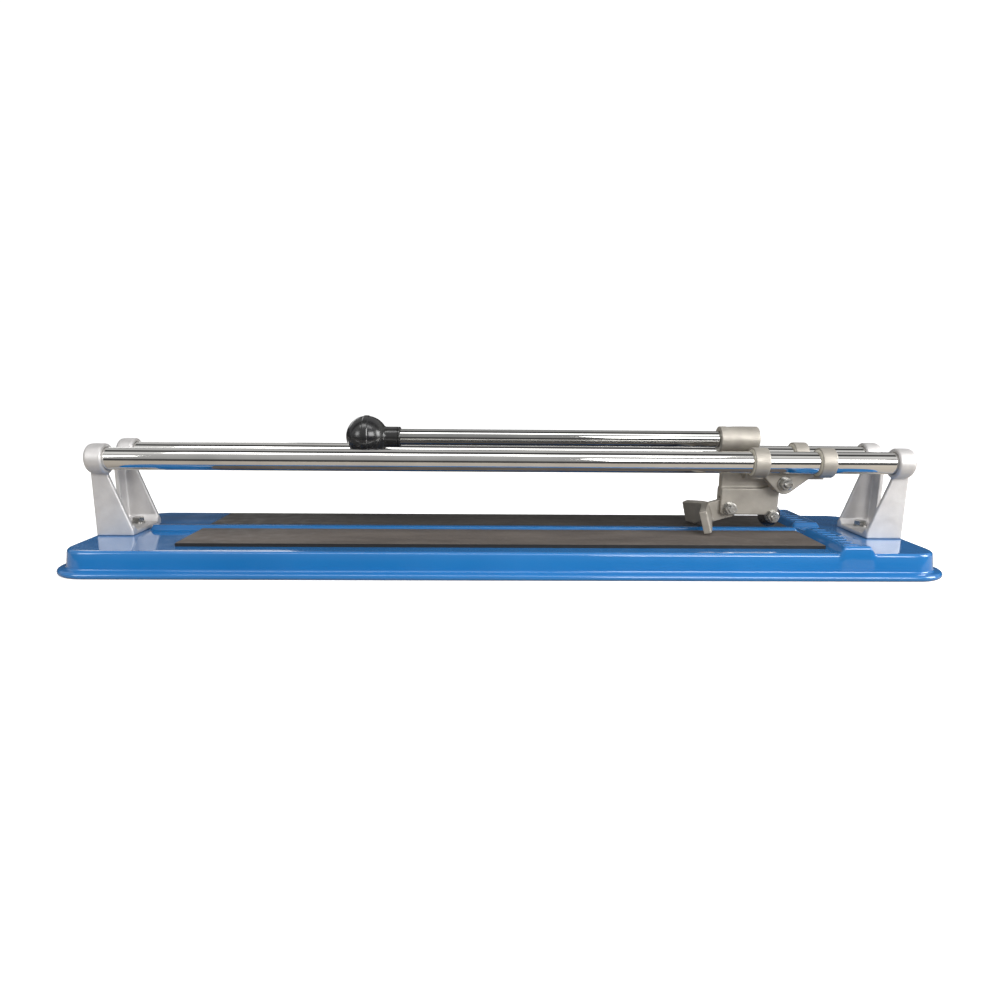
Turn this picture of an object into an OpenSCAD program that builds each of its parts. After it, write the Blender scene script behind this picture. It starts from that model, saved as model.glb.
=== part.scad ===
// Twin-rail hand tile cutter for tiles up to 600 mm.
// X runs along the rails, Y across them, Z up. The origin is on the bench, under the middle of the tray.
// Units are millimetres. The handle lies down and the carriage stands near the fence.

/* [Tray] */
// Length over the tray's walls
tray_l = 749; // [745:1:755]
// Width over the tray's walls
tray_w = 181; // [170:1:190]
// Height of the tray's top above the bench
tray_h = 22; // [20:0.5:26]
// Sheet thickness of the pressed tray
sheet = 1.5; // [1.2:0.1:2]
// Corner radius of the tray in plan
tray_r = 24; // [20:1:36]
// Width of the rolled brim round the foot of the tray
brim_w = 7.5; // [7:0.5:12]
// Height of the breaking ridge above the tray's top
ridge_h = 5; // [4:0.5:6]
// Height of the fence above the tray's top
fence_h = 7; // [5:0.5:8]

/* [Mats] */
// Thickness of the rubber mats
mat_t = 3; // [2:0.5:4]
// Width of each mat
mat_w = 62.5; // [50:0.5:68]
// Length of each mat
mat_l = 562; // [500:1:562]

/* [Rails] */
// Outside diameter of each rail
rail_d = 20; // [18:0.5:20]
// Distance between the rails' axes
rail_gap = 57; // [57:0.5:60]
// Height of the rails' axes above the bench
rail_z = 92.5; // [90:0.5:96]
// Length over the rail caps
rail_l = 740; // [736:1:742]

/* [Carriage] */
// Middle of the slider along X
slider_x = 264; // [200:1:264]
// Length of each slider ring
ring_l = 13.5; // [12:0.5:15]
// Outside radius of the rings and rail caps
ring_r = 13.6; // [13.5:0.1:13.8]

/* [Handle] */
// Diameter of the handle rod
rod_d = 15; // [12:0.5:16]
// Height of the rod's axis above the bench, with the handle down
rod_z = 111; // [111:0.5:116]
// Diameter of the ball knob
knob_d = 39; // [36:0.5:39]
// Diameter of the scoring wheel
wheel_d = 22; // [20:0.5:22]

/* [Hidden] */
$fn = 96;

// Clearances: a fixed fit, a running fit, and a cut's overshoot
snug = 0.05;
run = 0.08;
over = 1;

// Tray
top_z = tray_h;
half_l = tray_l / 2;
half_w = tray_w / 2;
brim_z = 6;
lip_t = 1.5;
ridge_base = 13;
ridge_top = 6;
ridge_x0 = -half_l + 39.5;
fence_x0 = 282;
fence_base = 33;
fence_top = 22;
notch_w = 22;
notch_floor = 2.5;

// Brackets
rail_y = rail_gap / 2;
cap_l = 16.5;
cap_in = rail_l / 2 - cap_l;
dome_l = 5;
socket_end = rail_l / 2 - 5;
foot_x0 = 337;
foot_x1 = 370;
foot_t = 4;
web_t = 4.5;
web_y = rail_y + 0.5 - web_t;
web_top_x = 355.6;
flange_t = 4;
flange_w = 12.5;
screw_x = 352;
screw_y = 13;

// M6 fasteners
m6_r = 3;
m6_hex_r = 5.77;
m6_head = 4;
m6_nut = 5;
m6_washer_r = 6.2;
m6_washer_t = 1.2;

// Slider
ring_x0 = slider_x - 40.5;
ring_x1 = slider_x + 20;
bush_r = 11.9;
bush_in_r = rail_d / 2 + 0.1;
plate_y0 = 8;
plate_y1 = 16.8;
lug_y1 = 20;

// Handle block, with the pivot's place
pivot_x = slider_x - 4;
pivot_z = 72;
lug_r = 10;
web_half = 4.5;
jaw_half = 7;
slot_half = 3.1;
jaw_top = 65.5;
jaw_bottom = 40;
block_x0 = slider_x - 58;
socket_r = 12;
socket_x0 = slider_x - 62.5;
socket_x1 = slider_x - 26.5;
rod_end = socket_x1 - 9;
knob_x = slider_x - 391;
knob_r = knob_d / 2;
collar_r = 9.5;
collar_x = knob_x + 31;

// Breaker foot and wheel
foot_bolt_x = slider_x - 49.5;
foot_bolt_z = 46.5;
tongue_r = 10;
fold_x = slider_x - 67;
wing_y = 34;
wing_t = 6.5;
wing_sweep = 22;
wing_lean = 16;
axle_x = slider_x - 8.5;
axle_z = 39;
ear_r = 6;
wheel_t = 5.6;
wheel_hub_r = 5;

// Rounded rectangle, centred, from plain squares and circles so that its corners stay true arcs
module rounded(l, w, r) {
    square([l - 2 * r, w], center = true);
    square([l, w - 2 * r], center = true);
    for (x = [-1, 1], y = [-1, 1])
        translate([x * (l / 2 - r), y * (w / 2 - r)]) circle(r);
}

// Slab of the tray's outline, grown by g all round, from z0 to z1
module slab(g, z0, z1) {
    translate([0, 0, z0]) linear_extrude(z1 - z0)
        rounded(tray_l + 2 * g, tray_w + 2 * g, tray_r + g);
}

// Profile in X and Z, extruded from y0 to y1
module across(y0, y1) {
    translate([0, y1, 0]) rotate([90, 0, 0]) linear_extrude(y1 - y0) children();
}

// Cylinder along Y from y0 to y1 at x, z
module pin_y(x, z, r, y0, y1, fn = 96) {
    translate([x, y1, z]) rotate([90, 0, 0]) cylinder(r = r, h = y1 - y0, $fn = fn);
}

// Cylinder along X from x0 to x1 at y, z
module pin_x(y, z, r, x0, x1) {
    translate([x0, y, z]) rotate([0, 90, 0]) cylinder(r = r, h = x1 - x0);
}

// Trapezium on a base line, of height h
module hump(base, top, h, below) {
    polygon([[-base / 2, -below], [base / 2, -below], [base / 2, 0], [top / 2, h],
             [-top / 2, h], [-base / 2, 0]]);
}

// Ridge along X. inset thins it to the hollow inside the pressing
module ridge(inset) {
    x1 = fence_x0 + fence_base / 2;
    translate([ridge_x0 + inset, 0, top_z]) rotate([90, 0, 90])
        linear_extrude(x1 - ridge_x0 - inset)
            hump(ridge_base - 2 * inset, ridge_top - inset, ridge_h - inset, sheet + inset);
}

// Fence across the tray, lower where the ridge meets it
module fence(inset) {
    translate([fence_x0 + fence_base / 2, 0, top_z]) difference() {
        across(-half_w + inset, half_w - inset)
            hump(fence_base - 2 * inset, fence_top - inset, fence_h - inset, sheet + inset);
        translate([-fence_base, -notch_w / 2 - inset, notch_floor - inset])
            cube([2 * fence_base, notch_w + 2 * inset, fence_h + over]);
    }
}

module base_tray() {
    color("royalblue") difference() {
        union() {
            slab(0, brim_z - lip_t, top_z);
            slab(brim_w, 0, brim_z);
            ridge(0);
            fence(0);
        }
        slab(-sheet, -over, top_z - sheet);
        slab(brim_w - lip_t, -over, brim_z - lip_t);
        ridge(sheet);
        fence(sheet);
        bracket_holes(m6_r + 0.4, -over, top_z + over);
    }
}

// Four fixing holes, two under each bracket
module bracket_holes(r, z0, z1) {
    for (x = [-screw_x, screw_x], y = [-screw_y, screw_y])
        translate([x, y, z0]) cylinder(r = r, h = z1 - z0);
}

module mat(side) {
    y0 = ridge_base / 2 + 1;
    color("dimgray") translate([-mat_l / 2 - 1.5, side > 0 ? y0 : -y0 - mat_w, top_z])
        cube([mat_l, mat_w, mat_t]);
}

// Half section of a rail cap, turned about the rail: a ring with a domed end, closed behind its socket
module cap_section() {
    body_l = cap_l - dome_l;
    polygon(concat(
        [[0, 0], [ring_r - 0.8, 0], [ring_r, 0.8]],
        [for (a = [0 : 15 : 75]) [ring_r - dome_l * (1 - cos(a)), body_l + dome_l * sin(a)]],
        [[0, cap_l]]));
}

// End bracket at the +X end: foot plate, two webs with flanges, two rail caps
module bracket_casting() {
    difference() {
        union() {
            translate([foot_x0, -rail_y - 0.5, top_z])
                cube([foot_x1 - foot_x0, rail_gap + 1, foot_t]);
            for (side = [-1, 1]) {
                mirror([0, side < 0 ? 1 : 0, 0]) {
                    across(web_y, web_y + web_t)
                        polygon([[foot_x0, top_z], [foot_x1, top_z], [foot_x1, rail_z],
                                 [web_top_x, rail_z], [web_top_x, rail_z - ring_r],
                                 [foot_x0, top_z + foot_t + 1]]);
                    translate([foot_x1 - flange_t, web_y - flange_w, top_z])
                        cube([flange_t, flange_w + over, rail_z - top_z - 4]);
                    translate([foot_x0, web_y, top_z + foot_t]) rotate([90, 0, 90])
                        linear_extrude(foot_x1 - foot_x0)
                            polygon([[over, -over], [-5, -over], [-5, 0], [0, 5], [over, 5]]);
                    translate([cap_in, rail_y, rail_z]) rotate([0, 90, 0])
                        rotate_extrude() cap_section();
                }
            }
        }
        for (side = [-1, 1])
            pin_x(side * rail_y, rail_z, rail_d / 2 + snug, cap_in - over, socket_end);
        bracket_holes(m6_r + 0.4, top_z - over, top_z + 12);
    }
}

module rail(side) {
    color("gainsboro") difference() {
        pin_x(side * rail_y, rail_z, rail_d / 2, -socket_end + snug, socket_end - snug);
        pin_x(side * rail_y, rail_z, rail_d / 2 - 2, -rail_l / 2, rail_l / 2);
    }
}

// Screws down through foot and tray, with the heads on top and nuts under the sheet
module bracket_screws() {
    color("silver") for (x = [-screw_x, screw_x], y = [-screw_y, screw_y])
        translate([x, y, 0]) {
            translate([0, 0, top_z - sheet - m6_nut - 3])
                cylinder(r = m6_r, h = sheet + m6_nut + 3 + foot_t + m6_washer_t + over);
            translate([0, 0, top_z + foot_t + m6_washer_t]) cylinder(r = m6_hex_r, h = m6_head, $fn = 6);
        }
}

module bracket_washers() {
    color("silver") for (x = [-screw_x, screw_x], y = [-screw_y, screw_y])
        translate([x, y, top_z + foot_t]) difference() {
            cylinder(r = m6_washer_r, h = m6_washer_t);
            translate([0, 0, -over]) cylinder(r = m6_r + snug, h = 2 * over + m6_washer_t);
        }
}

module bracket_nuts() {
    color("silver") for (x = [-screw_x, screw_x], y = [-screw_y, screw_y])
        translate([x, y, top_z - sheet - m6_nut]) difference() {
            cylinder(r = m6_hex_r, h = m6_nut, $fn = 6);
            translate([0, 0, -over]) cylinder(r = m6_r + snug, h = 2 * over + m6_nut);
        }
}

// Triangular lug under the rings, round about the pivot
module lug_section() {
    translate([pivot_x, pivot_z]) circle(lug_r);
    polygon([[ring_x0 + 12.5, rail_z - 10.3], [pivot_x - 7.4, pivot_z - 6.7],
             [pivot_x + 6.3, pivot_z - 7.8], [ring_x1 + 5.5, rail_z - 10.3]]);
}

// One slider casting, for the +Y rail: two rings joined by a side plate with the pivot lug
module slider_casting() {
    x1 = ring_x1 + ring_l;
    difference() {
        union() {
            for (x = [ring_x0, ring_x1]) pin_x(rail_y, rail_z, ring_r, x, x + ring_l);
            translate([ring_x0, plate_y0, rail_z - 17])
                cube([x1 - ring_x0, plate_y1 - plate_y0, 17]);
            across(plate_y0, lug_y1) lug_section();
        }
        for (x = [ring_x0, ring_x1])
            pin_x(rail_y, rail_z, bush_r + snug, x - over, x + ring_l + over);
        pin_x(rail_y, rail_z, rail_d / 2 + 0.6, ring_x0, x1);
        pin_y(pivot_x, pivot_z, m6_r + snug, 0, lug_y1 + over);
    }
}

// Plain nylon bushes inside the rings, one in each
module bushes(side) {
    color("ivory") for (x = [ring_x0, ring_x1]) difference() {
        pin_x(side * rail_y, rail_z, bush_r, x + 0.3, x + ring_l - 0.3);
        pin_x(side * rail_y, rail_z, bush_in_r, x - over, x + ring_l + over);
    }
}

// Hex bolt along Y, with its head at the +Y side
module bolt_y(x, z, y_head, y_end) {
    pin_y(x, z, m6_r, y_end, y_head + over);
    pin_y(x, z, m6_hex_r, y_head, y_head + m6_head, 6);
}

// Washer or spacer ring along Y
module ring_y(x, z, r, y0, t) {
    difference() {
        pin_y(x, z, r, y0, y0 + t);
        pin_y(x, z, m6_r + snug, y0 - over, y0 + t + over);
    }
}

module nut_y(x, z, y0) {
    difference() {
        pin_y(x, z, m6_hex_r, y0, y0 + m6_nut, 6);
        pin_y(x, z, m6_r + snug, y0 - over, y0 + m6_nut + over);
    }
}

module pivot_bolt() {
    color("silver")
        bolt_y(pivot_x, pivot_z, lug_y1 + m6_washer_t, -lug_y1 - m6_washer_t - m6_nut - 2.5);
}

module pivot_washers() {
    color("silver") for (y = [lug_y1, -lug_y1 - m6_washer_t])
        ring_y(pivot_x, pivot_z, m6_washer_r + 0.8, y, m6_washer_t);
}

// Thin nylon spacers between the lugs and the handle block
module pivot_spacers() {
    t = plate_y0 - jaw_half - 2 * snug;
    color("ivory") for (y = [jaw_half + snug, -jaw_half - snug - t])
        ring_y(pivot_x, pivot_z, 8, y, t);
}

module pivot_nut() {
    color("silver") nut_y(pivot_x, pivot_z, -lug_y1 - m6_washer_t - m6_nut);
}

// Outline of the thin web, from the rod socket down to the jaw
module web_section() {
    polygon([[block_x0, rod_z - 4], [block_x0, jaw_top - 2], [pivot_x + 4, jaw_top - 2],
             [pivot_x, pivot_z + 9], [socket_x1 - 4, rail_z + 6], [socket_x1 - 4, rod_z - 4]]);
}

// Outline of the thick jaw that holds the foot, the wheel and the pivot
module jaw_section() {
    polygon([[block_x0, jaw_top], [block_x0, jaw_bottom + 2], [block_x0 + 2, jaw_bottom],
             [axle_x, jaw_bottom], [axle_x + 5, jaw_bottom + 3], [pivot_x + 1, pivot_z - 10],
             [pivot_x + 6, pivot_z - 7], [pivot_x - 4, jaw_top + 4], [pivot_x - 16, jaw_top]]);
    translate([pivot_x, pivot_z]) circle(lug_r - 0.5);
    translate([axle_x, axle_z]) circle(ear_r);
}

module handle_block() {
    color("darkgray") difference() {
        union() {
            pin_x(0, rod_z, socket_r, socket_x0, socket_x1);
            across(-web_half, web_half) web_section();
            across(-jaw_half, jaw_half) jaw_section();
        }
        pin_x(0, rod_z, rod_d / 2 + snug, socket_x0 - over, rod_end + snug);
        translate([socket_x0 + 10, 0, rod_z]) cylinder(r = 2.5 + snug, h = socket_r + over);
        pin_y(pivot_x, pivot_z, m6_r + run, -jaw_half - over, jaw_half + over);
        pin_y(foot_bolt_x, foot_bolt_z, m6_r + snug, -jaw_half - over, jaw_half + over);
        pin_y(axle_x, axle_z, m6_r + snug, -jaw_half - over, jaw_half + over);
        across(-slot_half, slot_half) {
            translate([foot_bolt_x, foot_bolt_z]) circle(tongue_r + 0.5);
            translate([block_x0 - over, jaw_bottom - over])
                square([foot_bolt_x - block_x0 + over, foot_bolt_z - jaw_bottom + tongue_r + over + 0.5]);
            translate([foot_bolt_x - 1, jaw_bottom - over]) square([tongue_r + 1.5, 7.5]);
            translate([axle_x, axle_z]) circle(wheel_d / 2 + 1);
            translate([axle_x - wheel_d / 2 - 1, 30]) square([wheel_d + 2, axle_z - 30]);
        }
    }
}

module handle_rod() {
    color("gainsboro") pin_x(0, rod_z, rod_d / 2, knob_x + 8, rod_end);
}

// Grub screw that locks the rod in its socket
module rod_set_screw() {
    color("dimgray") translate([socket_x0 + 10, 0, rod_z + rod_d / 2]) difference() {
        cylinder(r = 2.5, h = socket_r - rod_d / 2 - 0.6);
        translate([0, 0, 1.4]) cylinder(r = 1.45, h = socket_r, $fn = 6);
    }
}

// Half section of the knob, turned about the rod: a ball with a raised parting line, and a collar
module knob_section() {
    difference() {
        union() {
            circle(knob_r);
            translate([0, -1]) square([knob_r + 0.3, 2]);
            square([collar_r, collar_x - knob_x]);
        }
        translate([-knob_d, -knob_d]) square([knob_d, 2 * knob_d]);
        translate([-over, 8 - snug]) square([rod_d / 2 + snug + over, knob_d]);
    }
}

module handle_knob() {
    color("black") translate([knob_x, 0, rod_z]) rotate([0, 90, 0]) rotate_extrude() knob_section();
}

// Side view of one wing of the breaker, in Y and Z: it arches up over the ridge
module wing_section() {
    polygon([[-1.5, 32.5], [7, 32.5], [20, 26.6], [wing_y, 26.6], [wing_y, 47.5],
             [8, 51], [-1.5, 51]]);
}

module breaker_foot() {
    color("darkgray") difference() {
        union() {
            for (side = [0, 1]) mirror([0, side, 0])
                translate([fold_x, 0, 0]) rotate([0, 0, wing_sweep])
                    translate([0, 0, 38]) rotate([0, -wing_lean, 0]) translate([-wing_t / 2, 0, -38])
                        rotate([90, 0, 90]) linear_extrude(wing_t) wing_section();
            across(-slot_half + 0.1, slot_half - 0.1) {
                translate([foot_bolt_x, foot_bolt_z]) circle(tongue_r);
                polygon([[fold_x - 2.5, 50.5], [foot_bolt_x, foot_bolt_z + tongue_r],
                         [foot_bolt_x, foot_bolt_z - tongue_r], [fold_x + 4, 32.5]]);
            }
        }
        pin_y(foot_bolt_x, foot_bolt_z, m6_r + snug, -jaw_half, jaw_half);
        translate([0, 0, 15]) cube([2 * fold_x + 60, 2 * tray_w, 23], center = true);
    }
}

module breaker_bolt() {
    color("silver")
        bolt_y(foot_bolt_x, foot_bolt_z, jaw_half + m6_washer_t, -jaw_half - m6_washer_t - m6_nut - 2);
}

module breaker_washers() {
    color("silver") for (y = [jaw_half, -jaw_half - m6_washer_t])
        ring_y(foot_bolt_x, foot_bolt_z, m6_washer_r, y, m6_washer_t);
}

module breaker_nut() {
    color("silver") nut_y(foot_bolt_x, foot_bolt_z, -jaw_half - m6_washer_t - m6_nut);
}

// Scoring wheel: a bored disc bevelled to a sharp rim
module scoring_wheel() {
    r = wheel_d / 2;
    color("slategray") translate([axle_x, 0, axle_z]) rotate([90, 0, 0]) rotate_extrude()
        polygon([[m6_r + run, -wheel_t / 2], [wheel_hub_r, -wheel_t / 2], [r - 0.1, -0.1],
                 [r, 0], [r - 0.1, 0.1], [wheel_hub_r, wheel_t / 2], [m6_r + run, wheel_t / 2]]);
}

module wheel_bolt() {
    color("silver")
        bolt_y(axle_x, axle_z, jaw_half + m6_washer_t, -jaw_half - m6_washer_t - m6_nut - 3);
}

// Thin shims that centre the wheel in its slot
module wheel_spacers() {
    t = slot_half - wheel_t / 2 - 2 * snug;
    color("goldenrod") for (y = [wheel_t / 2 + snug, -wheel_t / 2 - snug - t])
        ring_y(axle_x, axle_z, 4.6, y, t);
}

module wheel_washers() {
    color("silver") for (y = [jaw_half, -jaw_half - m6_washer_t])
        ring_y(axle_x, axle_z, m6_hex_r + 0.2, y, m6_washer_t);
}

module wheel_nut() {
    color("silver") nut_y(axle_x, axle_z, -jaw_half - m6_washer_t - m6_nut);
}

base_tray();
mat(-1);  // mat_front
mat(1);  // mat_back
color("lightgray") mirror([1, 0, 0]) bracket_casting();  // bracket_left
color("lightgray") bracket_casting();  // bracket_right
rail(-1);  // rail_front
rail(1);  // rail_back
bracket_screws();
bracket_washers();
bracket_nuts();
color("lightgray") mirror([0, 1, 0]) slider_casting();  // slider_front
color("lightgray") slider_casting();  // slider_back
bushes(-1);  // bushes_front
bushes(1);  // bushes_back
pivot_bolt();
pivot_washers();
pivot_spacers();
pivot_nut();
handle_block();
handle_rod();
rod_set_screw();
handle_knob();
breaker_foot();
breaker_bolt();
breaker_washers();
breaker_nut();
scoring_wheel();
wheel_bolt();
wheel_spacers();
wheel_washers();
wheel_nut();
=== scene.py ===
import math

import bmesh
import bpy
from mathutils import Matrix, Vector


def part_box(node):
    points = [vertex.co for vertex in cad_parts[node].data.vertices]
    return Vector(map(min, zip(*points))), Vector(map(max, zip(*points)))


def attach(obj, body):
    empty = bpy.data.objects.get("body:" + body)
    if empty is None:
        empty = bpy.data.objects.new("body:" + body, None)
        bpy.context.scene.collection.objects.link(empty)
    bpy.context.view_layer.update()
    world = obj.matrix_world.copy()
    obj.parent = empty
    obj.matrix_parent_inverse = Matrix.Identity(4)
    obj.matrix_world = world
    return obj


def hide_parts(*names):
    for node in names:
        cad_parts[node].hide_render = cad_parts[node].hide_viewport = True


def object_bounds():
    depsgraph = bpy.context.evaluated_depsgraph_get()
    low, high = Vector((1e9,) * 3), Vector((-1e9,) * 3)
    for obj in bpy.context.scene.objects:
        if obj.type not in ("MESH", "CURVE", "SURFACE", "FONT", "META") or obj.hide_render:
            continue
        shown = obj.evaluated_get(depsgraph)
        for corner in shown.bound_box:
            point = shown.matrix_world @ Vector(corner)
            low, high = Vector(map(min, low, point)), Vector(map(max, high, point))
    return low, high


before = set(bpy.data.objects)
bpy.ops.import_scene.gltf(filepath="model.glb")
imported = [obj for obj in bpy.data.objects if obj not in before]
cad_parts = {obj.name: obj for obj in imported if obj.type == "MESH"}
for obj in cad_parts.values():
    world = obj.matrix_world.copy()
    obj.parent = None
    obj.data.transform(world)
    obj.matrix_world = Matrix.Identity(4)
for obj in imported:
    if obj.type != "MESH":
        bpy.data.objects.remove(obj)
cad_box = [list(corner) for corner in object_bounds()]

# ---------------------------------------------------------------- camera
# The camera stands low in front of the cutter and looks slightly down on it,
# a little left of the middle, as a catalogue picture is taken.
camera_place = Vector((-0.0168, -0.6718, 0.1658))
camera_pitch = 0.2035
camera_yaw = -0.0206
camera_roll = 0.0086
camera_data = bpy.data.cameras.new("camera")
camera_data.lens = 25.79
camera_data.sensor_width = 36.0
camera_data.shift_y = 0.0256
camera = bpy.data.objects.new("camera", camera_data)
camera.matrix_world = (
    Matrix.Translation(camera_place)
    @ Matrix.Rotation(camera_yaw, 4, "Z")
    @ Matrix.Rotation(math.pi / 2 - camera_pitch, 4, "X")
    @ Matrix.Rotation(camera_roll, 4, "Z")
)
bpy.context.scene.collection.objects.link(camera)
bpy.context.scene.camera = camera
bpy.context.scene.view_settings.view_transform = "Standard"

# ---------------------------------------------------------------- studio
# A round pale floor under a white studio. The room is bright in front and overhead and
# dark behind the cutter, so that the plated parts show crisp light and dark bands.
floor_radius = 2.4
floor_gap = 0.0002
floor_dark_y = -0.46
floor_pale_y = -0.34
floor_mesh = bpy.data.meshes.new("floor")
floor_bm = bmesh.new()
bmesh.ops.create_circle(floor_bm, cap_ends=True, segments=96, radius=floor_radius)
floor_bm.to_mesh(floor_mesh)
floor_bm.free()
floor = bpy.data.objects.new("floor", floor_mesh)
floor.location.z = cad_box[0][2] - floor_gap
bpy.context.scene.collection.objects.link(floor)
floor_paint = bpy.data.materials.new("floor_paint")
floor_paint.use_nodes = True
floor_tree = floor_paint.node_tree
floor_shader = floor_tree.nodes["Principled BSDF"]
floor_shader.inputs["Base Color"].default_value = (0.95, 0.95, 0.95, 1)
floor_shader.inputs["Roughness"].default_value = 0.9
floor_shader.inputs["Specular IOR Level"].default_value = 0.1
floor_shader.inputs["Emission Color"].default_value = (1, 1, 1, 1)
floor_shader.inputs["Emission Strength"].default_value = 0.62
# In the polished parts the floor mirrors as a warm grey near the cutter
# and dark further in front
floor_mirrored = floor_tree.nodes.new("ShaderNodeBsdfDiffuse")
floor_place = floor_tree.nodes.new("ShaderNodeTexCoord")
floor_xyz = floor_tree.nodes.new("ShaderNodeSeparateXYZ")
floor_tree.links.new(floor_place.outputs["Object"], floor_xyz.inputs[0])
floor_reach = floor_tree.nodes.new("ShaderNodeMapRange")
floor_reach.inputs["From Min"].default_value = floor_dark_y
floor_reach.inputs["From Max"].default_value = floor_pale_y
floor_tree.links.new(floor_xyz.outputs["Y"], floor_reach.inputs["Value"])
floor_tones = floor_tree.nodes.new("ShaderNodeValToRGB")
floor_tones.color_ramp.elements[0].color = (0.05, 0.05, 0.052, 1)
floor_tones.color_ramp.elements[1].color = (0.46, 0.42, 0.37, 1)
floor_tree.links.new(floor_reach.outputs[0], floor_tones.inputs[0])
floor_tree.links.new(floor_tones.outputs[0], floor_mirrored.inputs["Color"])
floor_seen = floor_tree.nodes.new("ShaderNodeLightPath")
floor_mix = floor_tree.nodes.new("ShaderNodeMixShader")
floor_tree.links.new(floor_seen.outputs["Is Camera Ray"], floor_mix.inputs[0])
floor_tree.links.new(floor_mirrored.outputs[0], floor_mix.inputs[1])
floor_tree.links.new(floor_shader.outputs[0], floor_mix.inputs[2])
floor_tree.links.new(floor_mix.outputs[0], floor_tree.nodes["Material Output"].inputs["Surface"])
floor_mesh.materials.append(floor_paint)

studio = bpy.data.worlds.new("studio")
studio.use_nodes = True
bpy.context.scene.world = studio
room = studio.node_tree
room.nodes.clear()
room_out = room.nodes.new("ShaderNodeOutputWorld")
room_dir = room.nodes.new("ShaderNodeTexCoord")
room_xyz = room.nodes.new("ShaderNodeSeparateXYZ")
room.links.new(room_dir.outputs["Generated"], room_xyz.inputs[0])
room_front = room.nodes.new("ShaderNodeMath")
room_front.operation = "MULTIPLY"
room_front.inputs[1].default_value = -1
room.links.new(room_xyz.outputs["Y"], room_front.inputs[0])
room_turn = room.nodes.new("ShaderNodeMath")
room_turn.operation = "ARCTAN2"
room.links.new(room_xyz.outputs["Z"], room_turn.inputs[0])
room.links.new(room_front.outputs[0], room_turn.inputs[1])
room_share = room.nodes.new("ShaderNodeMapRange")
room_share.inputs["From Min"].default_value = 0
room_share.inputs["From Max"].default_value = math.pi
room.links.new(room_turn.outputs[0], room_share.inputs["Value"])
room_bands = room.nodes.new("ShaderNodeValToRGB")
# Share of the way from the front horizon over the top to the back horizon,
# and how bright the room is there
band_stops = [(0.0, 0.08), (0.02, 0.25), (0.05, 0.55), (0.28, 0.75), (0.33, 1.2), (0.42, 1.2),
              (0.46, 0.08), (0.55, 0.08), (0.60, 0.8), (0.78, 0.7), (0.85, 0.10), (1.0, 0.08)]
ramp = room_bands.color_ramp
for place, level in band_stops[1:-1]:
    stop = ramp.elements.new(place)
    stop.color = (level, level, level, 1)
ramp.elements[0].color = (band_stops[0][1],) * 3 + (1,)
ramp.elements[-1].color = (band_stops[-1][1],) * 3 + (1,)
room.links.new(room_share.outputs[0], room_bands.inputs[0])
room_seen = room.nodes.new("ShaderNodeLightPath")
room_light = room.nodes.new("ShaderNodeBackground")
room_light.inputs["Strength"].default_value = 0.68
room.links.new(room_bands.outputs[0], room_light.inputs["Color"])
room_white = room.nodes.new("ShaderNodeBackground")
room_white.inputs["Strength"].default_value = 1.05
room_white.inputs["Color"].default_value = (1, 1, 1, 1)
room_mix = room.nodes.new("ShaderNodeMixShader")
room.links.new(room_seen.outputs["Is Camera Ray"], room_mix.inputs[0])
room.links.new(room_light.outputs[0], room_mix.inputs[1])
room.links.new(room_white.outputs[0], room_mix.inputs[2])
room.links.new(room_mix.outputs[0], room_out.inputs[0])


def softbox(name, place, target, width, height, watts):
    """A rectangular lamp at place, turned to face target."""
    lamp = bpy.data.lights.new(name, "AREA")
    lamp.shape = "RECTANGLE"
    lamp.size = width
    lamp.size_y = height
    lamp.energy = watts
    box = bpy.data.objects.new(name, lamp)
    box.location = place
    box.rotation_euler = (Vector(target) - Vector(place)).to_track_quat("-Z", "Y").to_euler()
    bpy.context.scene.collection.objects.link(box)


softbox("front_box", (0.75, -1.4, 0.7), (0.15, 0, 0.05), 0.9, 0.6, 15)
softbox("right_box", (1.4, -0.4, 0.6), (0.4, 0, 0.05), 0.6, 0.7, 14)
softbox("left_box", (-1.0, -0.8, 0.5), (-0.2, 0, 0.08), 0.4, 0.4, 3)
softbox("top_box", (-0.1, -0.6, 1.4), (0, 0, 0), 1.6, 0.35, 6.5)
softbox("rim_box", (-0.7, 0.9, 0.45), (-0.2, 0, 0.05), 0.5, 0.25, 0.7)

# ---------------------------------------------------------------- base tray
# The tray is pressed from one sheet of steel and enamelled blue. Its skirt ends in a rolled brim,
# and the breaking ridge and the fence bar are pressed up out of its top.
mm = 0.001
tray_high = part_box("base_tray")[1]
bed_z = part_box("mat_back")[0][2]
brim_w = 7.5 * mm
sheet_t = 1.3 * mm
top_round = 3 * mm
skirt_draft = 1.5 * mm
flat_half_x = tray_high[0] - brim_w - top_round - skirt_draft
flat_half_y = tray_high[1] - brim_w - top_round - skirt_draft
flat_corner = 19.5 * mm
corner_steps = 12
ridge_rise = 5 * mm
ridge_crest = 2.6 * mm
ridge_foot = 6.6 * mm
ridge_left = -335 * mm
ridge_slope = 5 * mm
ridge_fade_from = 280 * mm
ridge_fade_to = 287 * mm
fence_left = 282 * mm
fence_right = 315 * mm
fence_slope = 6 * mm
fence_rise = tray_high[2] - bed_z
notch_floor = 2.5 * mm
notch_side_from = 10.5 * mm
notch_side_to = 15 * mm
mark_gap = 10 * mm
mark_count = 8
mark_rise = 0.45 * mm
mark_from = 290 * mm
short_mark_to = 302 * mm
long_mark_to = 307 * mm
mark_top_half = 0.4 * mm
mark_foot_half = 1.3 * mm


def ease(value, low, high):
    """A smooth step from 0 at low to 1 at high."""
    share = min(1.0, max(0.0, (value - low) / (high - low)))
    return share * share * (3 - 2 * share)


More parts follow.
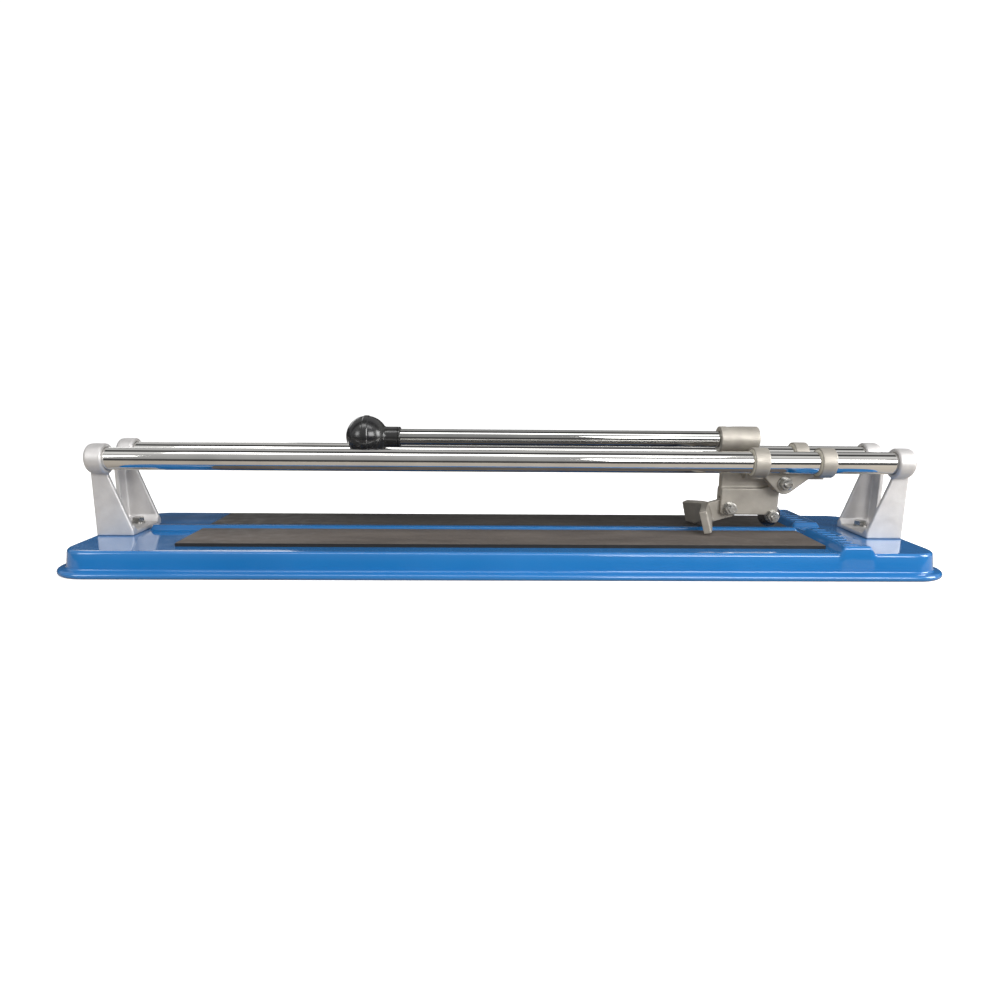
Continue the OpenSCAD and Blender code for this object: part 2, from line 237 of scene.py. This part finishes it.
def relief(x, y):
    """How far the pressing stands up from the tray's flat top at x, y."""
    off_middle = abs(y)
    ridge = ridge_rise * (1 - ease(off_middle, ridge_crest, ridge_foot))
    ridge *= ease(x, ridge_left, ridge_left + ridge_slope) * (1 - ease(x, ridge_fade_from, ridge_fade_to))
    bar = ease(x, fence_left, fence_left + fence_slope)
    bar *= 1 - ease(x, fence_right - fence_slope, fence_right)
    gap = ease(off_middle, notch_side_from, notch_side_to)
    fence = bar * (notch_floor + (fence_rise - mark_rise - notch_floor) * gap)
    nearest = round(off_middle / mark_gap)
    mark_to = long_mark_to if nearest % 5 == 0 else short_mark_to
    if 2 <= nearest <= mark_count and mark_from < x < mark_to:
        off_mark = abs(off_middle - nearest * mark_gap)
        fence += mark_rise * (1 - ease(off_mark, mark_top_half, mark_foot_half))
    return max(ridge, fence)


def grid_lines(low, high, coarse, fine_spans):
    """Places between low and high, coarse mostly and finer inside each (start, end, step)."""
    lines = [low]
    while lines[-1] < high - 1e-6:
        here = lines[-1]
        step = coarse
        for start, end, fine in fine_spans:
            if start - 1e-7 <= here < end - 1e-7:
                step = min(fine, end - here)
            elif here < start < here + step:
                step = start - here
        lines.append(min(high, here + step))
    return lines


# Columns and rows lie closer together where the relief is steep
coarse_x = 14 * mm
coarse_y = 7 * mm
straight = flat_half_x - flat_corner
corner_turns = [math.pi / 2 * i / corner_steps for i in range(1, corner_steps + 1)]
middle_x = grid_lines(-straight, straight, coarse_x,
                      [(ridge_left - 1 * mm, ridge_left + 6 * mm, 0.8 * mm),
                       (fence_left - 2 * mm, fence_right + 1 * mm, 0.8 * mm)])
columns = [(-straight - flat_corner * math.sin(a), a) for a in reversed(corner_turns)]
columns += [(x, 0.0) for x in middle_x]
columns += [(straight + flat_corner * math.sin(a), a) for a in corner_turns]
fine_rows = [(-15.5 * mm, -10 * mm, 0.9 * mm), (-7 * mm, -2 * mm, 0.6 * mm),
             (2 * mm, 7 * mm, 0.6 * mm), (10 * mm, 15.5 * mm, 0.9 * mm)]
for k in range(2, mark_count + 1):
    for side in (-1, 1):
        mark_y = side * k * mark_gap
        fine_rows.append((mark_y - 1.4 * mm, mark_y + 1.4 * mm, 0.7 * mm))
row_y = grid_lines(-flat_half_y, flat_half_y, coarse_y, fine_rows)

tray_bm = bmesh.new()
grid = []
for x, turn in columns:
    half = flat_half_y - flat_corner * (1 - math.cos(turn))
    grid.append([])
    for y_full in row_y:
        y = y_full / flat_half_y * half
        grid[-1].append(tray_bm.verts.new((x, y, bed_z + relief(x, y))))
for i in range(len(columns) - 1):
    for j in range(len(row_y) - 1):
        tray_bm.faces.new((grid[i][j], grid[i + 1][j], grid[i + 1][j + 1], grid[i][j + 1]))

# The rim of the flat top, anticlockwise, each point with its outward direction
rim = []
last_col = len(columns) - 1
last_row = len(row_y) - 1
for i, (x, turn) in enumerate(columns):
    rim.append((grid[i][0], math.copysign(math.sin(turn), x), -math.cos(turn)))
for j in range(1, last_row):
    rim.append((grid[last_col][j], 1.0, 0.0))
for i in range(last_col, -1, -1):
    x, turn = columns[i]
    rim.append((grid[i][last_row], math.copysign(math.sin(turn), x), math.cos(turn)))
for j in range(last_row - 1, 0, -1):
    rim.append((grid[0][j], -1.0, 0.0))

# Section of the skirt and brim: (distance outward from the flat top, height).
# It turns over the top's edge, through the crease at the skirt's foot and round the rolled brim,
# by the steps in degrees.
skirt_foot = 7.5 * mm
skirt_mid = 13 * mm
skirt_mid_in = 0.7 * mm
crease_r = 2 * mm
roll_r = 2.7 * mm
edge_step = 11.5
crease_step = 16
roll_from = 80
roll_step = 19
skirt = []
for i in range(1, 8):
    a = math.radians(90 - edge_step * i)
    skirt.append((top_round * math.cos(a), bed_z - top_round + top_round * math.sin(a)))
edge = top_round + skirt_draft
skirt += [(edge - skirt_mid_in, skirt_mid), (edge, skirt_foot)]
for i in range(1, 6):
    a = math.radians(180 + crease_step * i)
    skirt.append((edge + crease_r + crease_r * math.cos(a), skirt_foot + crease_r * math.sin(a)))
for i in range(0, 10):
    a = math.radians(roll_from - roll_step * i)
    skirt.append((edge + brim_w - roll_r + roll_r * math.cos(a), roll_r + roll_r * math.sin(a)))

# The relief that reaches the rim fades out down the skirt, between these heights
rise_from = skirt_foot + 1 * mm
rise_to = bed_z - top_round
ring_before = [vert for vert, _, _ in rim]
for out, z in skirt:
    ring = []
    share = min(1.0, max(0.0, (z - rise_from) / (rise_to - rise_from)))
    for vert, nx, ny in rim:
        lift = relief(vert.co.x, vert.co.y) * share
        ring.append(tray_bm.verts.new((vert.co.x + nx * out, vert.co.y + ny * out, z + lift)))
    for k in range(len(rim)):
        after = (k + 1) % len(rim)
        tray_bm.faces.new((ring_before[k], ring[k], ring[after], ring_before[after]))
    ring_before = ring
tray_mesh = bpy.data.meshes.new("tray_pressing")
tray_bm.normal_update()
tray_bm.to_mesh(tray_mesh)
tray_bm.free()
tray_mesh.shade_smooth()
tray = bpy.data.objects.new("tray_pressing", tray_mesh)
bpy.context.scene.collection.objects.link(tray)
thickness = tray.modifiers.new("sheet", "SOLIDIFY")
thickness.thickness = sheet_t
thickness.offset = -1
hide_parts("base_tray")
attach(tray, "frame")


def new_finish(name):
    """A node material. Returns it with its node tree, its Principled shader and object coordinates."""
    finish = bpy.data.materials.new(name)
    finish.use_nodes = True
    tree = finish.node_tree
    place = tree.nodes.new("ShaderNodeTexCoord").outputs["Object"]
    return finish, tree, tree.nodes["Principled BSDF"], place


def noise(tree, place, scale, detail, stretch=(1, 1, 1)):
    """Noise over the object, finer along an axis whose stretch is larger."""
    mapping = tree.nodes.new("ShaderNodeMapping")
    mapping.inputs["Scale"].default_value = stretch
    tree.links.new(place, mapping.inputs["Vector"])
    texture = tree.nodes.new("ShaderNodeTexNoise")
    texture.inputs["Scale"].default_value = scale
    texture.inputs["Detail"].default_value = detail
    tree.links.new(mapping.outputs[0], texture.inputs["Vector"])
    return texture.outputs["Fac"]


noise_low = 0.3
noise_high = 0.7


def two_tone(tree, share, dark, light):
    """A colour between dark and light, over the span that noise mostly keeps to."""
    tones = tree.nodes.new("ShaderNodeValToRGB")
    tones.color_ramp.elements[0].position = noise_low
    tones.color_ramp.elements[1].position = noise_high
    tones.color_ramp.elements[0].color = (*dark, 1)
    tones.color_ramp.elements[1].color = (*light, 1)
    tree.links.new(share, tones.inputs[0])
    return tones.outputs[0]


def between(tree, share, low, high):
    """A value between low and high, over the same span."""
    spread = tree.nodes.new("ShaderNodeMapRange")
    spread.inputs["From Min"].default_value = noise_low
    spread.inputs["From Max"].default_value = noise_high
    spread.inputs["To Min"].default_value = low
    spread.inputs["To Max"].default_value = high
    tree.links.new(share, spread.inputs["Value"])
    return spread.outputs[0]


def bumps(tree, shader, heights):
    """Stacks bump nodes, each (height, depth in metres), and feeds the last to the shader."""
    normal = None
    for height, depth in heights:
        bump = tree.nodes.new("ShaderNodeBump")
        bump.inputs["Strength"].default_value = 1.0
        bump.inputs["Distance"].default_value = depth
        tree.links.new(height, bump.inputs["Height"])
        if normal:
            tree.links.new(normal, bump.inputs["Normal"])
        normal = bump.outputs[0]
    tree.links.new(normal, shader.inputs["Normal"])


enamel, tree, shader, place = new_finish("blue_enamel")
tree.links.new(two_tone(tree, noise(tree, place, 6, 2), (0.008, 0.138, 0.39), (0.012, 0.164, 0.45)),
               shader.inputs["Base Color"])
tree.links.new(between(tree, noise(tree, place, 40, 4), 0.10, 0.20), shader.inputs["Roughness"])
shader.inputs["Coat Weight"].default_value = 0.7
shader.inputs["Coat Roughness"].default_value = 0.03
bumps(tree, shader, [(noise(tree, place, 420, 2), 0.00004), (noise(tree, place, 22, 1), 0.0006)])
tray_mesh.materials.append(enamel)

# ---------------------------------------------------------------- rubber mats
# Two strips of moulded rubber are glued to the bed, one on each side of the ridge.
# The front one's tops are painted lighter as a painted sheen, the back one's darker as painted shade, both
# faintly streaked, and their cut edges stay dark.
def mat_rubber(name, dark, light):
    """A rubber with tops between dark and light, tones that carry each mat's painted light (sheen on the
    front, shade on the back), and nearly black sides.
    """
    finish, tree, shader, place = new_finish(name)
    streaks_and_painted_light = two_tone(tree, noise(tree, place, 60, 6, (0.25, 1, 1)), dark, light)
    facing = tree.nodes.new("ShaderNodeNewGeometry")
    facing_xyz = tree.nodes.new("ShaderNodeSeparateXYZ")
    tree.links.new(facing.outputs["Normal"], facing_xyz.inputs[0])
    edge_mix = tree.nodes.new("ShaderNodeMix")
    edge_mix.data_type = "RGBA"
    edge_mix.inputs["A"].default_value = (0.008, 0.007, 0.006, 1)
    tree.links.new(facing_xyz.outputs["Z"], edge_mix.inputs["Factor"])
    tree.links.new(streaks_and_painted_light, edge_mix.inputs["B"])
    tree.links.new(edge_mix.outputs["Result"], shader.inputs["Base Color"])
    tree.links.new(between(tree, noise(tree, place, 90, 4), 0.55, 0.8), shader.inputs["Roughness"])
    bumps(tree, shader, [(noise(tree, place, 1400, 3), 0.00008), (noise(tree, place, 35, 2), 0.0003)])
    return finish


# One rubber in two copies: the front mat's lighter tops are a painted sheen and the back mat's darker tops
# are painted shade
mat_finishes = {
    "front": mat_rubber("mat_rubber_painted_sheen", (0.080, 0.067, 0.058), (0.125, 0.106, 0.092)),
    "back": mat_rubber("mat_rubber_painted_shade", (0.026, 0.022, 0.019), (0.050, 0.043, 0.037)),
}


def finish_node(name, finish, bevel=0.0):
    """Gives a CAD node its finish, with its edges eased by a small bevel."""
    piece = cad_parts[name]
    piece.data.materials.clear()
    piece.data.materials.append(finish)
    for face in piece.data.polygons:
        face.material_index = 0
    if bevel:
        ease_edges = piece.modifiers.new("eased", "BEVEL")
        ease_edges.width = bevel
        ease_edges.segments = 3
        ease_edges.limit_method = "ANGLE"
        ease_edges.angle_limit = math.radians(35)
        ease_edges.harden_normals = True
    return piece


for side in ("front", "back"):
    finish_node("mat_" + side, mat_finishes[side], 0.5 * mm)

# ---------------------------------------------------------------- end brackets
# Each bracket is one die casting in aluminium: foot, two webs and two rail caps.
# It is left as cast, so every edge is soft and the skin is matt and faintly grainy.
def cast_skin(name, dark, light):
    """The matt skin of a die casting, between two tones."""
    finish, tree, shader, place = new_finish(name)
    tree.links.new(two_tone(tree, noise(tree, place, 70, 5), dark, light), shader.inputs["Base Color"])
    shader.inputs["Metallic"].default_value = 0.55
    tree.links.new(between(tree, noise(tree, place, 150, 4), 0.42, 0.58), shader.inputs["Roughness"])
    bumps(tree, shader, [(noise(tree, place, 1100, 3), 0.00006), (noise(tree, place, 120, 2), 0.00018)])
    return finish


def soften_casting(name, skin_finish, grain, passes):
    """Rounds every edge of a CAD node as a casting's edges are, by remeshing and smoothing it."""
    piece = finish_node(name, skin_finish)
    skin = piece.modifiers.new("skin", "REMESH")
    skin.mode = "VOXEL"
    skin.voxel_size = grain
    skin.use_smooth_shade = True
    smooth = piece.modifiers.new("soft_edges", "SMOOTH")
    smooth.factor = 0.5
    smooth.iterations = passes


bracket_skin = cast_skin("cast_aluminium_pale", (0.57, 0.555, 0.550), (0.67, 0.655, 0.645))
for side in ("left", "right"):
    soften_casting("bracket_" + side, bracket_skin, grain=0.75 * mm, passes=7)

# ---------------------------------------------------------------- rails
# Two ground steel tubes, chromed and polished. The carriage runs on them,
# and their ends sit in the brackets' caps.
def plating(name, dark, light):
    """Polished chrome between two tones, faintly drawn out along X."""
    finish, tree, shader, place = new_finish(name)
    tree.links.new(two_tone(tree, noise(tree, place, 25, 3), dark, light), shader.inputs["Base Color"])
    shader.inputs["Metallic"].default_value = 1.0
    polish = between(tree, noise(tree, place, 60, 5, (0.08, 1, 1)), 0.03, 0.09)
    tree.links.new(polish, shader.inputs["Roughness"])
    bumps(tree, shader, [(noise(tree, place, 300, 2, (0.03, 1, 1)), 0.00001)])
    return finish


rail_chrome = plating("chrome_plate_rail", (0.70, 0.69, 0.67), (0.82, 0.81, 0.785))


def skin_rings(work, rings, closed):
    """Faces between rings, the last joined to the first if closed and each end capped if not."""
    pairs = list(zip(rings, rings[1:]))
    if closed:
        pairs.append((rings[-1], rings[0]))
    else:
        work.faces.new(rings[0])
        work.faces.new(list(reversed(rings[-1])))
    for one, two in pairs:
        for k in range(len(one)):
            after = (k + 1) % len(one)
            work.faces.new((one[k], two[k], two[after], one[after]))


def add_piece(name, work, sharp_degrees, finish, body, stands_for):
    """Makes a piece of the work in hand. It stands for a CAD node and rides on a body."""
    bmesh.ops.recalc_face_normals(work, faces=work.faces)
    mesh = bpy.data.meshes.new(name)
    work.to_mesh(mesh)
    work.free()
    mesh.shade_smooth()
    mesh.set_sharp_from_angle(angle=math.radians(sharp_degrees))
    mesh.materials.append(finish)
    piece = bpy.data.objects.new(name, mesh)
    bpy.context.scene.collection.objects.link(piece)
    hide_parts(stands_for)
    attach(piece, body)


turned_steps = 128


def turned(name, profile, start, finish, body, stands_for, closed=False):
    """A piece turned about the line through start along +X. profile: (distance along, radius)."""
    work = bmesh.new()
    rings = []
    for along, radius in profile:
        rings.append([])
        for k in range(turned_steps):
            a = 2 * math.pi * k / turned_steps
            rings[-1].append(work.verts.new((start[0] + along, start[1] + radius * math.cos(a),
                                             start[2] + radius * math.sin(a))))
    skin_rings(work, rings, closed)
    add_piece(name, work, 32, finish, body, stands_for)


def middle(name):
    """The centre and the size of a CAD node's box."""
    low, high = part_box(name)
    return [(a + b) / 2 for a, b in zip(low, high)], [b - a for a, b in zip(low, high)]


rail_wall = 2 * mm
rail_chamfer = 0.4 * mm
for side in ("front", "back"):
    centre, size = middle("rail_" + side)
    length, radius = size[0], size[2] / 2
    rail_line = [(0, radius - rail_wall), (0, radius - rail_chamfer), (rail_chamfer, radius),
                 (length - rail_chamfer, radius), (length, radius - rail_chamfer),
                 (length, radius - rail_wall)]
    turned("plated_rail_" + side, rail_line, (centre[0] - length / 2, centre[1], centre[2]),
           rail_chrome, "frame", "rail_" + side, closed=True)

# ---------------------------------------------------------------- M6 fasteners
# Zinc-plated hex screws, nuts and flat washers hold the brackets, the pivot, the foot and the wheel.
# Heads and nuts are chamfered on their faces, and the thread shows where a screw's end stands out.
zinc, tree, shader, place = new_finish("zinc_plate")
tree.links.new(two_tone(tree, noise(tree, place, 180, 4), (0.34, 0.335, 0.32), (0.58, 0.57, 0.54)),
               shader.inputs["Base Color"])
shader.inputs["Metallic"].default_value = 1.0
tree.links.new(between(tree, noise(tree, place, 260, 5), 0.22, 0.40), shader.inputs["Roughness"])
bumps(tree, shader, [(noise(tree, place, 900, 3), 0.00004)])
hex_flats = 10 * mm
hex_face_share = 0.96
hex_chamfer = math.radians(30)
hex_steps = 72
bore_chamfer = 0.3 * mm
thread_r = 3 * mm
thread_pitch = 1 * mm
thread_depth = 0.5 * mm
plain_r = thread_r - 0.25 * mm
tip_r = thread_r - 0.7 * mm
shank_steps = 48


def hex_block(work, centre, axis, height, bore=0.0):
    """A chamfered hexagon from centre along axis, as a nut if it has a bore and a head if not."""
    turn = Vector((0, 0, 1)).rotation_difference(axis).to_matrix()
    face_r = hex_flats / 2 * hex_face_share
    spokes = []
    for k in range(hex_steps):
        a = 2 * math.pi * k / hex_steps
        off = math.radians((math.degrees(a) % 60) - 30)
        corner_r = hex_flats / 2 / math.cos(off)
        drop = (corner_r - face_r) * math.tan(hex_chamfer)
        shape = [(face_r, 0.0), (corner_r, drop), (corner_r, height - drop), (face_r, height)]
        if bore:
            shape = [(bore, bore_chamfer), (bore + bore_chamfer, 0)] + shape
            shape += [(bore + bore_chamfer, height), (bore, height - bore_chamfer)]
        spokes.append([])
        for r, z in shape:
            point = Vector((r * math.cos(a), r * math.sin(a), z))
            spokes[-1].append(work.verts.new(Vector(centre) + turn @ point))
    skin_rings(work, [list(ring) for ring in zip(*spokes)], closed=bool(bore))


def shank(work, centre, axis, plain, threaded):
    """A screw's shank from centre along axis: plain first, then threaded to a chamfered end."""
    turn = Vector((0, 0, 1)).rotation_difference(axis).to_matrix()
    shape = [(plain_r, 0.0), (plain_r, plain)]
    z = plain
    while z < plain + threaded - thread_pitch:
        shape += [(thread_r - thread_depth, z + 0.4 * thread_pitch), (thread_r, z + 0.9 * thread_pitch)]
        z += thread_pitch
    shape += [(tip_r, plain + threaded)]
    rings = []
    for r, z in shape:
        rings.append([])
        for k in range(shank_steps):
            a = 2 * math.pi * k / shank_steps
            point = Vector((r * math.cos(a), r * math.sin(a), z))
            rings[-1].append(work.verts.new(Vector(centre) + turn @ point))
    skin_rings(work, rings, closed=False)


def add_hardware(name, work, body, stands_for):
    add_piece(name, work, 28, zinc, body, stands_for)


head_h = 4 * mm
nut_h = 5 * mm
screw_plain = 6 * mm
washer_bevel = 0.2 * mm
screw_low, screw_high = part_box("bracket_screws")
nut_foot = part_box("bracket_nuts")[0][2]
head_foot = screw_high[2] - head_h
reach = head_foot - screw_low[2]
screw_x = screw_high[0] - hex_flats / math.sqrt(3)
screw_y = screw_high[1] - hex_flats / 2
screws = bmesh.new()
nuts = bmesh.new()
for x in (-screw_x, screw_x):
    for y in (-screw_y, screw_y):
        hex_block(screws, (x, y, head_foot), Vector((0, 0, 1)), head_h)
        shank(screws, (x, y, head_foot), Vector((0, 0, -1)), screw_plain, reach - screw_plain)
        hex_block(nuts, (x, y, nut_foot), Vector((0, 0, 1)), nut_h, thread_r)
add_hardware("hex_screws", screws, "frame", "bracket_screws")
add_hardware("hex_nuts", nuts, "frame", "bracket_nuts")
finish_node("bracket_washers", zinc, washer_bevel)
bolt_bodies = {"pivot": "carriage", "breaker": "handle", "wheel": "handle"}


def cross_bolt(which):
    """The bolt and nut of one joint, along Y, with the head at the back and the nut in front."""
    low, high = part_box(which + "_bolt")
    centre, _ = middle(which + "_nut")
    nut_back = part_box(which + "_nut")[1][1]
    head_front = high[1] - head_h
    plain = head_front - nut_back
    bolt = bmesh.new()
    hex_block(bolt, (centre[0], head_front, centre[2]), Vector((0, 1, 0)), head_h)
    shank(bolt, (centre[0], head_front, centre[2]), Vector((0, -1, 0)), plain, head_front - low[1] - plain)
    add_hardware(which + "_hex_bolt", bolt, bolt_bodies[which], which + "_bolt")
    nut = bmesh.new()
    hex_block(nut, (centre[0], nut_back, centre[2]), Vector((0, -1, 0)), nut_h, thread_r)
    add_hardware(which + "_hex_nut", nut, bolt_bodies[which], which + "_nut")
    finish_node(which + "_washers", zinc, washer_bevel)


for which in bolt_bodies:
    cross_bolt(which)

# ---------------------------------------------------------------- carriage
# Two mirrored slider castings, one on each rail. Nylon bushes line their rings,
# and the pivot bolt ties their lugs together through the handle block.
carriage_skin = cast_skin("cast_aluminium_warm", (0.36, 0.335, 0.295), (0.45, 0.420, 0.372))
for side in ("front", "back"):
    soften_casting("slider_" + side, carriage_skin, grain=0.6 * mm, passes=6)
nylon, tree, shader, place = new_finish("nylon")
tree.links.new(two_tone(tree, noise(tree, place, 140, 3), (0.62, 0.58, 0.48), (0.72, 0.69, 0.60)),
               shader.inputs["Base Color"])
tree.links.new(between(tree, noise(tree, place, 200, 3), 0.38, 0.5), shader.inputs["Roughness"])
shader.inputs["Subsurface Weight"].default_value = 0.1
shader.inputs["Subsurface Radius"].default_value = (0.002, 0.002, 0.0015)
bumps(tree, shader, [(noise(tree, place, 700, 2), 0.00003)])
for name in ("bushes_front", "bushes_back", "pivot_spacers", "wheel_spacers"):
    finish_node(name, nylon, 0.15 * mm)

# ---------------------------------------------------------------- handle
# The handle block is a casting with a socket for the rod on top and a slotted jaw below.
# The chromed rod is pushed into the socket and locked by a set screw.
soften_casting("handle_block", carriage_skin, grain=0.6 * mm, passes=6)
centre, size = middle("handle_rod")
rod_r = size[2] / 2
# The rod's chrome is a darker copy of the rails' chrome: painted shade, so that it mirrors the room darker
# than the rails do
rod_chrome_painted_shade = plating("chrome_plate_rod_painted_shade", (0.44, 0.44, 0.43), (0.54, 0.54, 0.52))
rod_chamfer = 0.6 * mm
rod_line = [(0, rod_r - rod_chamfer), (rod_chamfer, rod_r), (size[0] - rod_chamfer, rod_r),
            (size[0], rod_r - rod_chamfer)]
turned("plated_rod", rod_line, (centre[0] - size[0] / 2, centre[1], centre[2]),
       rod_chrome_painted_shade, "handle", "handle_rod")
black_steel, tree, shader, place = new_finish("black_steel")
tree.links.new(two_tone(tree, noise(tree, place, 300, 4), (0.018, 0.018, 0.02), (0.035, 0.035, 0.037)),
               shader.inputs["Base Color"])
shader.inputs["Metallic"].default_value = 0.8
tree.links.new(between(tree, noise(tree, place, 400, 3), 0.3, 0.5), shader.inputs["Roughness"])
bumps(tree, shader, [(noise(tree, place, 1500, 2), 0.00002)])
finish_node("rod_set_screw", black_steel, 0.1 * mm)

# The knob is moulded in black plastic in a mould of two halves, and a raised band runs round
# its middle. A collar takes the end of the rod.
knob_black, tree, shader, place = new_finish("knob_plastic")
tree.links.new(two_tone(tree, noise(tree, place, 60, 4), (0.010, 0.010, 0.012), (0.024, 0.024, 0.023)),
               shader.inputs["Base Color"])
tree.links.new(between(tree, noise(tree, place, 90, 4), 0.15, 0.27), shader.inputs["Roughness"])
shader.inputs["Specular IOR Level"].default_value = 0.6
bumps(tree, shader, [(noise(tree, place, 500, 3), 0.00005), (noise(tree, place, 45, 2), 0.0004)])
knob_low, knob_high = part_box("handle_knob")
seam_rise = 0.5 * mm
ball_r = (knob_high[2] - knob_low[2]) / 2 - seam_rise
ball_x = knob_low[0] + ball_r
pole_r = 0.05 * mm
collar_r = 9.5 * mm
collar_end = knob_high[0] - ball_x
neck_search = collar_end - 20 * mm
neck_fillet = 0.9 * mm
seam_half = 2.6 * mm
seam_edge = 0.5 * mm
knob_line = []
for i in range(0, 180):
    a = math.radians(180 - i)
    along, radius = ball_r * math.cos(a), max(pole_r, ball_r * math.sin(a))
    if along > neck_search and radius < collar_r + neck_fillet:
        break
    radius += seam_rise * min(1.0, max(0.0, (seam_half - abs(along)) / seam_edge))
    knob_line.append((along, radius))

# The collar: a short neck, a fine groove near its end, and a chamfered mouth round the rod
neck = knob_line[-1][0] + 1.2 * mm
knob_line += [(neck, collar_r + 0.15 * mm), (neck + 1 * mm, collar_r), (collar_end - 2.6 * mm, collar_r),
              (collar_end - 2.3 * mm, collar_r - 0.5 * mm), (collar_end - 2.0 * mm, collar_r),
              (collar_end - 0.7 * mm, collar_r), (collar_end, collar_r - 0.7 * mm),
              (collar_end, rod_r + 0.4 * mm), (collar_end - 1.5 * mm, rod_r + 0.1 * mm)]
turned("ball_knob", knob_line, (ball_x, centre[1], centre[2]), knob_black, "handle",
       "handle_knob")

# ---------------------------------------------------------------- breaker and wheel
# The breaker foot is a V-shaped casting that presses both halves of the tile down beside the score.
# The scoring wheel is a small ground disc of tungsten carbide on its own bolt.
soften_casting("breaker_foot", carriage_skin, grain=0.5 * mm, passes=4)
carbide, tree, shader, place = new_finish("carbide")
tree.links.new(two_tone(tree, noise(tree, place, 260, 4), (0.06, 0.06, 0.065), (0.12, 0.12, 0.125)),
               shader.inputs["Base Color"])
shader.inputs["Metallic"].default_value = 1.0
tree.links.new(between(tree, noise(tree, place, 500, 3), 0.25, 0.4), shader.inputs["Roughness"])
bumps(tree, shader, [(noise(tree, place, 1200, 2), 0.00003)])
finish_node("scoring_wheel", carbide)
